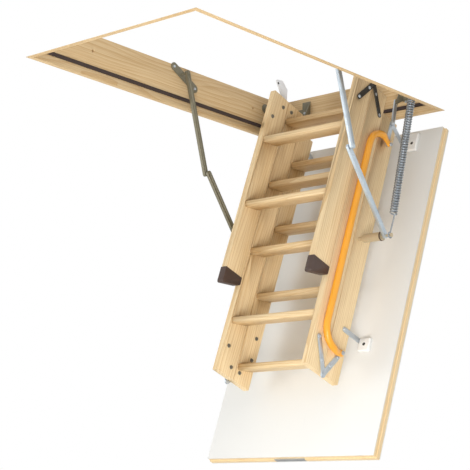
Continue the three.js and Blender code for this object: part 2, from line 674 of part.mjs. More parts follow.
function buildSpreaders() {
  const at = point(ARM_HATCH_PIVOT.run, ARM_HATCH_PIVOT.height);
  const pinEnd = SPRING_OFFSET + SPRING_WIRE + SPRING_PIN_MARGIN;
  for (const [name, side] of SIDES) {
    const tubeStart = HALF_LADDER + SPREADER_STANDOFF;
    const bolt = disc(at, PIN_HEAD_RADIUS, side * (HALF_LADDER + GAP), side * tubeStart);
    const tube = disc(at, SPREADER_RADIUS, side * tubeStart, side * SPREADER_END);
    const shank = disc(at, PIN_RADIUS, side * SPREADER_END, side * pinEnd);
    const head = disc(at, PIN_HEAD_RADIUS, side * pinEnd, side * (pinEnd + PIN_HEAD));
    piece(hatch, `spreader_tube_${name}`, join(bolt, tube, shank, head), zinc);
  }
}

// The stay and its block, on the handrail's side only.
function buildStay() {
  const inner = HALF_LADDER + GAP;
  const blockFrom = inner + STAY_THICKNESS + GAP;
  const half = BLOCK_LENGTH / 2;
  const shape = new THREE.Shape();
  shape.moveTo(-STAY_RUN - STAY_WIDTH / 2, GAP);
  shape.lineTo(-STAY_RUN + STAY_WIDTH / 2, GAP);
  shape.absarc(-STAY_RUN, STAY_TOP, STAY_WIDTH / 2, 0, Math.PI);
  const far = [blockFrom + BLOCK_WIDTH, -BLOCK_RUN + half, BLOCK_HEIGHT];
  const block = box([blockFrom, -BLOCK_RUN - half, GAP], far);
  piece(hatch, 'stay_block', block, plastic);
  const stay = sideways(shape, inner, inner + STAY_THICKNESS, 6);
  piece(hatch, 'stay', stay, zinc);
}

// The plates at the top of the upper section that the hinge links are riveted to.
function buildHingeBrackets() {
  const pivot = point(LINK_PIVOT_RUN, LINK_PIVOT_HEIGHT);
  const stringerEnd = pivot.clone().add(point(...BRACKET_END));
  const hatchEnd = point(LINK_PIVOT_RUN + BRACKET_FOOT, LEAF_RADIUS + GAP);
  for (const [name, side] of SIDES) {
    const [from, to] = [side * (HALF_LADDER + GAP), side * (HALF_LADDER + GAP + LEAF)];
    const legs = [stringerEnd, hatchEnd].map((end) => strap(pivot, end, LEAF_RADIUS, from, to));
    piece(hatch, `hinge_bracket_${name}`, join(...legs), zinc);
  }
}

function buildHandrail() {
  const x = HALF_LADDER + RAIL_SPACE + RAIL_RADIUS;
  const at = (run, height) => new THREE.Vector3(x, -run, height);
  const bend = (end, way) => new THREE.CubicBezierCurve3(
    at(end, RAIL_FOOT_HEIGHT),
    at(end - way * RAIL_BULGE, (RAIL_FOOT_HEIGHT + RAIL_GRIP_HEIGHT) / 2),
    at(end + way * RAIL_EASE, RAIL_GRIP_HEIGHT),
    at(end + way * RAIL_BEND, RAIL_GRIP_HEIGHT),
  );
  const path = new THREE.CurvePath();
  const start = bend(RAIL_START, 1);
  const end = bend(RAIL_END, -1);
  path.add(start);
  path.add(new THREE.LineCurve3(start.v3, end.v3));
  path.add(new THREE.CubicBezierCurve3(end.v3, end.v2, end.v1, end.v0));
  const section = new THREE.Shape();
  section.absarc(0, 0, RAIL_RADIUS, 0, 2 * Math.PI);
  const rail = new THREE.ExtrudeGeometry(section, {
    steps: RAIL_STEPS,
    curveSegments: 6,
    extrudePath: path,
    bevelEnabled: false,
  });
  piece(hatch, 'handrail', rail, orange);
}

// ---- Assembly -------------------------------------------------------------------------

buildFrame();
buildArmBrackets();
buildHingePlates();
buildHingeLinks();
buildArms();
buildSprings();
buildStriker();
buildHatch();
buildLock();

const [upperRuns, middleRuns, lowerRuns] = treadRuns();
const lowerEnd = LOWER_KNUCKLE - KNUCKLE_SPACE;
const upperEnd = UPPER_KNUCKLE + KNUCKLE_SPACE;
buildSection(0, 'upper_section', UPPER_SECTION_TOP, lowerEnd, upperRuns);
buildSection(1, 'middle_section', upperEnd, lowerEnd, middleRuns);
buildSection(2, 'lower_section', upperEnd, LOWER_SECTION_END, lowerRuns);
buildSectionHinges();
buildFeet();
buildSpreaders();
buildStay();
buildHingeBrackets();
buildHandrail();

export default ladder;
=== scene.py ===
"""Finishes a folding attic ladder: timber, ironwork, springs, handrail and fixings."""

import json
import math

import bmesh
import bpy
from mathutils import Matrix, Vector

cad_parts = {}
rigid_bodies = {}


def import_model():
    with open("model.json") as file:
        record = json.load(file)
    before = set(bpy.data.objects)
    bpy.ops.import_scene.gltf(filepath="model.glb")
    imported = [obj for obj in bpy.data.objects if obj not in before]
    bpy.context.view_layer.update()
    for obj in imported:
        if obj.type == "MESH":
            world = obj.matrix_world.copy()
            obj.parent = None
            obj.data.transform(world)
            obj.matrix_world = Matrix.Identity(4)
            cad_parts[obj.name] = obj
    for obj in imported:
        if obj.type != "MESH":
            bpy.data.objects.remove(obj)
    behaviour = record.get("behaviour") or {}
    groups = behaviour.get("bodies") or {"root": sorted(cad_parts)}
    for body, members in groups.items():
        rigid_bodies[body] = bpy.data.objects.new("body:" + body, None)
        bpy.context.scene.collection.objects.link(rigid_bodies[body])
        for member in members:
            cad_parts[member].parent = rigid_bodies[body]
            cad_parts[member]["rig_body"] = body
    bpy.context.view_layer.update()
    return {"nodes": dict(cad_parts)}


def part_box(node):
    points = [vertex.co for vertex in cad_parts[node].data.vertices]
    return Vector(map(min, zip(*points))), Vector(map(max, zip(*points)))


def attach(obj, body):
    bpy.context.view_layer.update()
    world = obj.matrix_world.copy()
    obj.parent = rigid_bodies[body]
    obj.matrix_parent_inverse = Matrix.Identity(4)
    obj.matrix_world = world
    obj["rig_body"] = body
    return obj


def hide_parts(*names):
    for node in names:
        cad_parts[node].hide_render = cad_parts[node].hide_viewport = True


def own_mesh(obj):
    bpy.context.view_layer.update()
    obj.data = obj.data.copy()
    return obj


bl_info = {
    "name": "Attic Ladder Finisher",
    "version": (1, 0, 0),
    "blender": (4, 5, 0),
    "location": "3D View > Sidebar > Attic Ladder",
    "description": "Eases an attic ladder's timber and adds its springs, handrail, fixings and finishes",
    "category": "Object",
}

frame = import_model()

SIDES = {"left": -1, "right": 1}
OPEN_ANGLE = math.radians(71)
HATCH_EDGE = (0, 0.0207, -0.1154)
HATCH = Matrix.Translation(HATCH_EDGE) @ Matrix.Rotation(OPEN_ANGLE, 4, "X")

# Turns that lay the grain of a board along X in the texture.
GRAIN_ACROSS = (0, 0, 0)
GRAIN_ALONG = (0, 0, -math.pi / 2)
GRAIN_DOWN_LADDER = (-OPEN_ANGLE, 0, -math.pi / 2)

# Run and height of the pin that holds each lower arm and each spring.
ARM_PIN = (0.473, 0.118)

STRINGER_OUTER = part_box("upper_section_stringer_right")[1].x
STRINGER_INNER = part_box("upper_section_stringer_right")[0].x
FRAME_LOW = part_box("frame_board_left")[0]
RIM = FRAME_LOW.z
FRAME_HALF_WIDTH = -FRAME_LOW.x
FRAME_LENGTH = -FRAME_LOW.y
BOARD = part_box("frame_board_left")[1].x + FRAME_HALF_WIDTH


# Distance between the rings of a wave texture at a scale of one.
WAVE_PERIOD = 0.314


def tone(red, green, blue):
    """A display colour from 0 to 255 as the linear colour that shaders use."""
    scaled = (channel / 255 for channel in (red, green, blue))
    return tuple(c / 12.92 if c <= 0.04045 else ((c + 0.055) / 1.055) ** 2.4 for c in scaled)


def on_hatch(x, run, height):
    """A point given across the ladder, along the hatch from its hinge edge and above its attic face."""
    return HATCH @ Vector((x, -run, height))


# ---- Settings ---------------------------------------------------------------------------


def colour_setting(name, description, colour):
    return bpy.props.FloatVectorProperty(
        name=name, description=description, subtype="COLOR", default=colour, min=0, max=1
    )


def length_setting(name, description, length, low, high):
    return bpy.props.FloatProperty(
        name=name,
        description=description,
        subtype="DISTANCE",
        unit="LENGTH",
        default=length,
        min=low,
        max=high,
    )


class TimberSettings(bpy.types.PropertyGroup):
    """Sizes and colours of the pine."""

    pale: colour_setting("Pale wood", "Colour of the wood between the growth rings", tone(245, 222, 180))
    ring: colour_setting("Ring", "Colour of the dark part of a growth ring", tone(214, 174, 117))
    ring_spacing: length_setting("Ring spacing", "Distance between growth rings", 0.008, 0.001, 0.03)
    easing: length_setting(
        "Easing", "Width of the eased edges of stringers and boards", 0.0015, 0.0002, 0.004
    )
    tread_easing: length_setting(
        "Tread easing", "Width of the eased rear edges of the treads", 0.0012, 0.0002, 0.004
    )


class MetalSettings(bpy.types.PropertyGroup):
    """Sizes and colours of the ironwork."""

    zinc: colour_setting("Zinc", "Colour of the zinc plated plates", tone(196, 204, 211))
    channel: colour_setting("Channel", "Colour of the galvanised guide arms", tone(198, 210, 219))
    # The frame's plates and the left pair of arms get a darker olive zinc: painted shade, with a painted
    # reflection of the wood, for their place in shade.
    shadowed_zinc: colour_setting(
        "Shadowed zinc", "Colour of the frame's plates and of the weathered pair of arms", tone(132, 127, 108)
    )
    bare: colour_setting(
        "Bare steel", "Colour of the ends that the black coat leaves bare", tone(238, 240, 243)
    )
    black: colour_setting("Black", "Colour of the black hinge straps", tone(58, 57, 54))
    spring: colour_setting("Spring", "Colour of the oiled spring wire", tone(164, 172, 180))
    strap_easing: length_setting(
        "Strap easing", "Width of the worn edges of the hinge straps", 0.0007, 0.0001, 0.002
    )
    screw_radius: length_setting(
        "Screw head", "Radius of the pan heads on the hinge straps", 0.0055, 0.002, 0.01
    )
    wire_radius: length_setting("Wire", "Radius of the spring wire", 0.0025, 0.0005, 0.003)
    coil_pitch: length_setting("Coil pitch", "Distance between the spring's turns", 0.0092, 0.002, 0.01)


class TrimSettings(bpy.types.PropertyGroup):
    """Colours of the painted, moulded and rubber pieces."""

    rail: colour_setting("Handrail", "Colour of the handrail's powder coat", tone(250, 172, 44))
    board: colour_setting("Hatch board", "Colour of the lacquered hatch", tone(234, 234, 231))
    plastic: colour_setting("Plastic", "Colour of the moulded blocks", tone(244, 244, 242))
    foot: colour_setting("Foot", "Colour of the feet", tone(78, 61, 54))
    gasket: colour_setting("Gasket", "Colour of the frame's seal", tone(62, 48, 44))


class StageSettings(bpy.types.PropertyGroup):
    """Camera, floor, ceiling and light."""

    lens: bpy.props.FloatProperty(
        name="Lens",
        description="Focal length on a 36 mm sensor",
        subtype="DISTANCE_CAMERA",
        default=116.13,
        min=10,
        max=400,
    )
    floor_drop: length_setting("Floor drop", "Height of the frame's middle above the floor", 2.65, 1, 4)
    ceiling_reach: length_setting("Ceiling reach", "How far the ceiling goes past the frame", 1.6, 0.1, 5)
    sky: bpy.props.FloatProperty(
        name="Sky",
        description="Strength of the even light from all round",
        default=0.47,
        min=0,
        max=2,
    )
    key: bpy.props.FloatProperty(
        name="Key lamp",
        description="Power of the large soft lamp on the handrail side",
        subtype="POWER",
        unit="POWER",
        default=54,
        min=0,
        max=1000,
    )


# ---- Finishes ---------------------------------------------------------------------------


class Level:
    """A number that varies over a surface. Sums and products of levels add Math nodes."""

    def __init__(self, finish, socket):
        self.finish = finish
        self.socket = socket

    def _math(self, operation, *values):
        made = self.finish.node("ShaderNodeMath", {"operation": operation}, list(values))
        return Level(self.finish, made.outputs[0])

    def __add__(self, other):
        return self._math("ADD", self, other)

    __radd__ = __add__

    def __sub__(self, other):
        return self._math("SUBTRACT", self, other)

    def __rsub__(self, other):
        return self._math("SUBTRACT", other, self)

    def __mul__(self, other):
        return self._math("MULTIPLY", self, other)

    __rmul__ = __mul__

    def __pow__(self, other):
        return self._math("POWER", self, other)

    def between(self, low, high):
        """Nought below low, one above high and smooth in the middle."""
        settings = {"interpolation_type": "SMOOTHSTEP"}
        made = self.finish.node("ShaderNodeMapRange", settings, [self, low, high])
        return Level(self.finish, made.outputs[0])


def add_node(tree, kind, settings, inputs):
    """Adds a node, with its settings first and then the values or links of its sockets."""
    made = tree.nodes.new(kind)
    for name, value in settings.items():
        setattr(made, name, value)
    pairs = inputs.items() if isinstance(inputs, dict) else enumerate(inputs)
    for key, value in pairs:
        socket = made.inputs[key]
        if isinstance(value, Level):
            value = value.socket
        if isinstance(value, bpy.types.NodeSocket):
            tree.links.new(value, socket)
        elif hasattr(socket.default_value, "__len__") and len(value) < len(socket.default_value):
            socket.default_value = (*value, 1)
        else:
            socket.default_value = value
    return made


class Finish:
    """A material that is built from nodes round one Principled shader."""

    def __init__(self, name, **constants):
        self.material = bpy.data.materials.new(name)
        self.material.use_nodes = True
        self.tree = self.material.node_tree
        self.tree.nodes.clear()
        self.shader = self.node("ShaderNodeBsdfPrincipled", {}, constants)
        self.end = self.node("ShaderNodeOutputMaterial", {}, {"Surface": self.shader.outputs[0]})

    def node(self, kind, settings, inputs):
        return add_node(self.tree, kind, settings, inputs)

    def place(self, turn=(0, 0, 0), stretch=(1, 1, 1)):
        """Object coordinates, turned and then stretched."""
        coordinates = self.node("ShaderNodeTexCoord", {}, {})
        inputs = {"Vector": coordinates.outputs["Object"], "Rotation": turn}
        turned = self.node("ShaderNodeMapping", {}, inputs)
        return self.scaled(turned.outputs[0], stretch)

    def scaled(self, vector, stretch):
        return self.node("ShaderNodeVectorMath", {"operation": "MULTIPLY"}, [vector, stretch]).outputs[0]

    def noise(self, vector, scale=1, detail=3, roughness=0.5):
        inputs = {"Vector": vector, "Scale": scale, "Detail": detail, "Roughness": roughness}
        return Level(self, self.node("ShaderNodeTexNoise", {}, inputs).outputs[0])

    def cells(self, vector, scale, feature="F1"):
        made = self.node("ShaderNodeTexVoronoi", {"feature": feature}, {"Vector": vector, "Scale": scale})
        return made.outputs

    def worn(self):
        """One on the middle of an eased edge, nought elsewhere; materials paint edge wear and a painted
        highlight with it.
        """
        return Level(self, self.node("ShaderNodeAttribute", {"attribute_name": "worn"}, {}).outputs["Fac"])

    def mix(self, share, first, second):
        settings = {"data_type": "RGBA", "clamp_factor": True}
        return self.node("ShaderNodeMix", settings, {0: share, 6: first, 7: second}).outputs[2]

    def colour(self, socket):
        self.tree.links.new(socket, self.shader.inputs["Base Color"])

    def bump(self, level, distance, strength):
        inputs = {"Strength": strength, "Distance": distance, "Height": level}
        made = self.node("ShaderNodeBump", {}, inputs)
        self.tree.links.new(made.outputs[0], self.shader.inputs["Normal"])

    def finished(self, colour, roughness, relief, distance, strength):
        """Gives the material its colour, its roughness and its bump."""
        self.colour(colour)
        self.tree.links.new(roughness.socket, self.shader.inputs["Roughness"])
        self.bump(relief, distance, strength)
        return self.material


def shaded(colour, share):
    """A colour made darker by a share under one and paler by a share over one."""
    return tuple(c * share for c in colour[:3])


def pine(name, turn, settings, shade=1.0, ringing=1.0, knots=True):
    """Planed softwood: growth rings, fibres, slow changes of colour and a few knots."""
    finish = Finish(name, IOR=1.45)
    grain = finish.place(turn)
    drift = finish.noise(finish.scaled(grain, (1.3, 9, 9)), 1, 2)
    wander = finish.node("ShaderNodeCombineXYZ", {}, [0, drift * 0.05, drift * 0.045]).outputs[0]
    straight = finish.scaled(grain, (0.05, 1, 1))
    adding = {"operation": "ADD"}
    bent = finish.node("ShaderNodeVectorMath", adding, [straight, wander])
    off_heart = finish.node("ShaderNodeVectorMath", adding, [bent.outputs[0], (0, 0.11, 0.19)])
    rings_per_wave = WAVE_PERIOD / settings.ring_spacing
    wave = {"wave_type": "RINGS", "rings_direction": "X", "wave_profile": "SAW"}
    inputs = {"Vector": off_heart.outputs[0], "Scale": rings_per_wave, "Distortion": 1.4, "Detail": 3}
    rings = Level(finish, finish.node("ShaderNodeTexWave", wave, inputs).outputs["Fac"])
    fibres = finish.noise(finish.scaled(grain, (6, 520, 520)), 1, 4, 0.6)
    patches = finish.noise(finish.scaled(grain, (2.5, 14, 14)), 1, 3)
    # A shade under one darkens and browns the whole wood as painted shade.
    shade_tint = (shade, shade**1.3, shade**1.7)
    pale, ring = (tuple(c * a for c, a in zip(colour, shade_tint)) for colour in (settings.pale, settings.ring))
    late = rings**2.2 * (0.25 + patches * 0.7) * ringing
    wood = finish.mix(late, pale, ring)
    streaks = fibres.between(0.42, 0.68) * 0.45 * ringing
    wood = finish.mix(streaks, wood, shaded(ring, 0.88))
    wood = finish.mix(patches.between(0.45, 0.8) * 0.35, wood, (ring[0], ring[1] * 1.02, ring[2] * 0.95))
    if knots:
        spots = Level(finish, finish.cells(finish.scaled(grain, (1.6, 3.2, 3.2)), 1.7)["Distance"])
        heart = 1 - spots.between(0.035, 0.06)
        halo = 1 - spots.between(0.05, 0.14)
        wood = finish.mix(halo * 0.45, wood, shaded(ring, 0.8))
        wood = finish.mix(heart * 0.85, wood, shaded(ring, 0.38))
    # Eased edges a little paler: wear and a painted highlight.
    wood = finish.mix(finish.worn() * 0.35, wood, tuple(min(1, c * 1.06) for c in pale))
    return finish.finished(wood, 0.5 + fibres * 0.2 - rings * 0.06, fibres * 0.6 + rings * 0.5, 0.0004, 0.35)


def plated(name, colour, roughness, metallic=0.75, spangle=0.35):
    """Zinc plated or galvanised steel: crystals, drawing marks, handling stains, and edges brightened as
    wear and painted highlight.
    """
    finish = Finish(name, Metallic=metallic)
    place = finish.place()
    crystals = Level(finish, finish.cells(place, 150)["Color"])
    marks = finish.noise(finish.scaled(place, (900, 60, 60)), 1, 3)
    stains = finish.noise(place, 28, 4, 0.6)
    steel = finish.mix(crystals * spangle, colour, shaded(colour, 0.78))
    steel = finish.mix(stains.between(0.5, 0.75) * 0.3, steel, shaded(colour, 0.62))
    # Eased edges brightened: wear and a painted highlight.
    steel = finish.mix(finish.worn() * 0.6, steel, shaded(colour, 1.18))
    gloss = roughness + crystals * 0.1 + marks * 0.08
    return finish.finished(steel, gloss, marks * 0.5 + stains * 0.5, 0.0002, 0.3)


def blackened(name, colour, bare, bare_from):
    """Black stoved steel with chipped edges that also carry a painted highlight, left bare near the hatch's
    hinge edge.
    """
    finish = Finish(name, Metallic=0.3)
    place = finish.place()
    dust = finish.noise(place, 60, 4, 0.6)
    chips = finish.noise(place, 900, 3)
    # Eased edges and chips turn pale: a chipped coat, and a painted highlight where the edges shine.
    worn = (finish.worn() + chips.between(0.62, 0.72) * 0.12) * (0.5 + dust)
    coat = finish.mix(dust.between(0.45, 0.8) * 0.5, colour, shaded(colour, 1.8))
    coat = finish.mix(worn, coat, tone(206, 203, 190))
    down = finish.node("ShaderNodeSeparateXYZ", {}, [finish.place(GRAIN_DOWN_LADDER)]).outputs[0]
    steel = finish.mix(Level(finish, down).between(bare_from, bare_from + 0.002), coat, bare)
    return finish.finished(steel, 0.38 + dust * 0.25, chips, 0.0001, 0.4)


def spring_wire(name, colour):
    """Drawn wire with patches of oil."""
    finish = Finish(name, Metallic=0.7)
    place = finish.place()
    oil = finish.noise(place, 90, 4, 0.6)
    marks = finish.noise(place, 1400, 2)
    steel = finish.mix(oil.between(0.4, 0.75) * 0.7, colour, shaded(colour, 0.4))
    return finish.finished(steel, 0.26 + oil * 0.2, marks, 0.00008, 0.4)


def powder_coat(name, colour):
    """Orange-peel powder coat, a little soiled by hands."""
    finish = Finish(name, **{"Coat Roughness": 0.12, "Coat Weight": 0.35, "IOR": 1.5})
    place = finish.place()
    peel = finish.noise(place, 650, 2)
    hands = finish.noise(place, 22, 4, 0.6)
    paint = finish.mix(hands.between(0.42, 0.75) * 0.4, colour, shaded(colour, 0.82))
    return finish.finished(paint, 0.3 + hands * 0.14, peel, 0.0002, 0.3)


def lacquered_board(name, colour):
    """Smooth white board with the faintest roller texture and shading."""
    finish = Finish(name, IOR=1.46)
    place = finish.place()
    roller = finish.noise(place, 420, 3)
    tint = finish.noise(place, 5, 3)
    scuffs = finish.noise(finish.place(GRAIN_DOWN_LADDER, (9, 120, 120)), 1, 3)
    paint = finish.mix(tint * 0.5, colour, shaded(colour, 0.94))
    paint = finish.mix(scuffs.between(0.66, 0.8) * 0.25, paint, shaded(colour, 0.85))
    return finish.finished(paint, 0.34 + roller * 0.12 + scuffs * 0.06, roller, 0.0001, 0.25)


def moulded(name, colour, roughness, grain, shine=1.5):
    """Moulded plastic or rubber with a fine eroded texture and dusty patches."""
    finish = Finish(name, IOR=shine)
    place = finish.place()
    texture = finish.noise(place, grain, 3)
    dust = finish.noise(place, 35, 4, 0.6)
    skin = finish.mix(dust.between(0.4, 0.8) * 0.5, colour, shaded(colour, 0.8))
    # Eased edges paler: wear and a painted highlight.
    skin = finish.mix(finish.worn() * 0.5, skin, shaded(colour, 1.25))
    return finish.finished(skin, roughness + dust * 0.15, texture, 0.0003, 0.4)


def beaded_foam(name):
    """Expanded foam board, with its beads."""
    finish = Finish(name, Roughness=0.9)
    beads = Level(finish, finish.cells(finish.place(), 260)["Distance"])
    finish.colour(finish.mix(beads.between(0.3, 0.9), tone(246, 246, 243), tone(222, 222, 218)))
    finish.bump(1 - beads, 0.0006, 0.6)
    return finish.material


# ---- Shapes -----------------------------------------------------------------------------


def finish_piece(bm, name, body, material, replaces=(), smooth=40):
    """Makes a mesh piece from a bmesh, with its place in its mesh, and lets it ride on a body."""
    bmesh.ops.recalc_face_normals(bm, faces=bm.faces)
    mesh = bpy.data.meshes.new(name)
    bm.to_mesh(mesh)
    bm.free()
    if not mesh.polygons:
        raise RuntimeError(f"{name} has no faces")
    mesh.polygons.foreach_set("use_smooth", [True] * len(mesh.polygons))
    mesh.set_sharp_from_angle(angle=math.radians(smooth))
    mesh.materials.append(material)
    piece = bpy.data.objects.new(name, mesh)
    bpy.context.scene.collection.objects.link(piece)
    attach(piece, body)
    if replaces:
        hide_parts(*replaces)
    return piece


def body_of(node):
    return frame["nodes"][node]["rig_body"]


def paint(material, *names):
    """Gives CAD nodes a finish."""
    for name in names:
        node = frame["nodes"][name]
        if not node.material_slots:
            raise RuntimeError(f"{name} has no material slot")
        for slot in node.material_slots:
            slot.material = material


def ease(bm, width, shortest, segments=2):
    """Rounds the sharp outer edges that are long enough, and marks their middles, where materials paint edge
    wear and a highlight.
    """
    layer = bm.verts.layers.float.new("worn")
    sharp = [
        edge
        for edge in bm.edges
        if len(edge.link_faces) == 2
        and edge.is_convex
        and edge.calc_face_angle() > math.radians(50)
        and edge.calc_length() > shortest
    ]
    made = bmesh.ops.bevel(
        bm,
        geom=sharp,
        offset=width,
        offset_type="OFFSET",
        segments=segments,
        profile=0.5,
        affect="EDGES",
        clamp_overlap=True,
        material=-1,
    )
    rounded = set(made["faces"])
    for vert in made["verts"]:
        vert[layer] = float(all(face in rounded for face in vert.link_faces))


def eased_copy(node, material, width, shortest=0.08, smooth=30):
    """A copy of a CAD node with eased edges, which stands for it."""
    bm = bmesh.new()
    bm.from_mesh(frame["nodes"][node].data)
    bmesh.ops.remove_doubles(bm, verts=bm.verts, dist=1e-5)
    ease(bm, width, shortest)
    return finish_piece(bm, f"{node}_eased", body_of(node), material, [node], smooth)


def facing(x, run, height, side):
    """The place of a fitting that stands out of the ladder's side at a point of the hatch's frame."""
    turn = Matrix.Rotation(side * math.pi / 2, 4, "Y")
    return Matrix.Translation(on_hatch(x, run, height)) @ turn


def cone(bm, place, sides, low, high, depth):
    """A closed cone or cylinder along the place's Z, with its middle on the place."""
    return bmesh.ops.create_cone(
        bm, cap_ends=True, segments=sides, radius1=low, radius2=high, depth=depth, matrix=place
    )


def pan_head(bm, place, radius, rise, sides=20):
    """A round screw head with a round socket, standing along the place's Z."""
    low = cone(bm, place @ Matrix.Translation((0, 0, rise / 2)), sides, radius, radius * 0.78, rise)
    crown = (place.to_3x3() @ Vector((0, 0, 1))).normalized()
    caps = {face for vert in low["verts"] for face in vert.link_faces if len(face.verts) == sides}
    top = max(caps, key=lambda face: face.calc_center_median().dot(crown))
    bmesh.ops.inset_region(bm, faces=[top], thickness=radius * 0.3)
    bmesh.ops.translate(bm, verts=top.verts, vec=crown * rise * -0.55)


def hex_nut(bm, place, radius, rise):
    """A nut with a washer under it and a bolt end in its middle."""
    washer = (20, 1.35, 1.3, 0.2, 0.1)
    nut = (6, 1, 0.96, 0.8, 0.6)
    bolt_end = (14, 0.5, 0.4, 0.3, 1.05)
    for sides, low, high, depth, middle in (washer, nut, bolt_end):
        seat = place @ Matrix.Translation((0, 0, rise * middle))
        cone(bm, seat, sides, radius * low, radius * high, rise * depth)


def on_both_sides(shape, x, places, radius, rise, face=1):
    """Screw heads or nuts at places in millimetres, at one distance from the ladder's middle."""
    bm = bmesh.new()
    for side in SIDES.values():
        for run, height in places:
            shape(bm, facing(side * x, run / 1000, height / 1000, side * face), radius, rise)
    return bm


def add_wire(bm, points, radius, resolution=5):
    """A round wire with closed ends along some points."""
    curve = bpy.data.curves.new("wire", "CURVE")
    curve.dimensions = "3D"
    curve.bevel_depth = radius
    curve.bevel_resolution = resolution
    curve.use_fill_caps = True
    spline = curve.splines.new("POLY")
    spline.points.add(len(points) - 1)
    for target, point in zip(spline.points, points):
        target.co = (*point, 1)
    holder = bpy.data.objects.new("wire", curve)
    mesh = bpy.data.meshes.new_from_object(holder)
    bm.from_mesh(mesh)
    bpy.data.objects.remove(holder)
    bpy.data.curves.remove(curve)
    bpy.data.meshes.remove(mesh)


def arc(centre, radius, start, end, steps, x):
    """Points of an arc in the plane across the hinge axis, at one x."""
    angles = [start + (end - start) * i / steps for i in range(steps + 1)]
    return [Vector((x, centre[0] + radius * math.cos(a), centre[1] + radius * math.sin(a))) for a in angles]


# ---- Operators --------------------------------------------------------------------------


